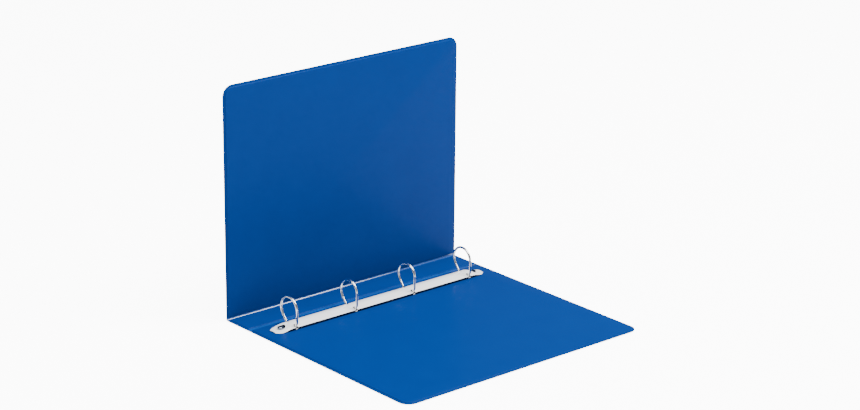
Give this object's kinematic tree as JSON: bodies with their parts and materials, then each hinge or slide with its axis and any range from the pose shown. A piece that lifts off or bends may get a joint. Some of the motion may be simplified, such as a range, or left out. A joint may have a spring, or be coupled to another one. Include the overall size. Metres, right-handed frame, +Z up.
{
  "type": "ring binder",
  "caption": "A4 ring binder lying open, with board covers in glossy foil, clear pockets on the front and spine, and a riveted D-ring mechanism.",
  "frame": {"origin": "under the middle of the opened binder, on the desk", "axes": "+X from the spine to the back cover's free edge, +Y from the foot to the head of the binder, +Z up along the standing front cover"},
  "size_m": [0.2956, 0.318, 0.2573],
  "materials": {
    "blue_foil": "royal blue vinyl foil, fine leather-like grain, glossy",
    "clear_film": "clear glossy film",
    "grey_board": "grey bookbinder's board, sealed in the foil",
    "nickel_plate": "bright nickel plate on steel",
    "steel_blade": "plated spring steel, duller than the housing"
  },
  "bodies": {
    "back_cover": {"back_board": "grey_board", "back_outer_skin": "blue_foil", "back_inner_lining": "blue_foil", "ring_housing": "nickel_plate", "foot_rivet": "nickel_plate", "head_rivet": "nickel_plate"},
    "spine": {"spine_board": "grey_board", "spine_outer_skin": "blue_foil", "spine_inner_lining": "blue_foil", "spine_clear_pocket": "clear_film"},
    "front_cover": {"front_board": "grey_board", "front_outer_skin": "blue_foil", "front_inner_lining": "blue_foil", "front_clear_pocket": "clear_film"},
    "spine_side_rings": {"spine_side_blade": "steel_blade", "spine_side_ring_half_1": "nickel_plate", "spine_side_ring_half_2": "nickel_plate", "spine_side_ring_half_3": "nickel_plate", "spine_side_ring_half_4": "nickel_plate"},
    "cover_side_rings": {"cover_side_blade": "steel_blade", "cover_side_ring_half_1": "nickel_plate", "cover_side_ring_half_2": "nickel_plate", "cover_side_ring_half_3": "nickel_plate", "cover_side_ring_half_4": "nickel_plate"}
  },
  "joints": [
    {"name": "spine_hinge", "type": "hinge", "parent": "back_cover", "child": "spine", "pos_m": [-0.1081, 0, 0.0014], "axis": [0, 1, 0], "range_deg": [0, 90]},
    {"name": "front_cover_hinge", "type": "hinge", "parent": "spine", "child": "front_cover", "pos_m": [-0.1464, 0, 0.0014], "axis": [0, 1, 0], "range_deg": [-90, 0]},
    {"name": "spine_side_opening", "type": "hinge", "parent": "back_cover", "child": "spine_side_rings", "pos_m": [-0.09471, 0, 0.0041], "axis": [0, -1, 0], "range_deg": [0, 8]},
    {"name": "cover_side_opening", "type": "hinge", "parent": "back_cover", "child": "cover_side_rings", "pos_m": [-0.07711, 0, 0.0041], "axis": [0, 1, 0], "range_deg": [0, 8]}
  ],
  "couplings": [
    {"joint": "cover_side_opening", "follows": "spine_side_opening", "ratio": 1}
  ]
}
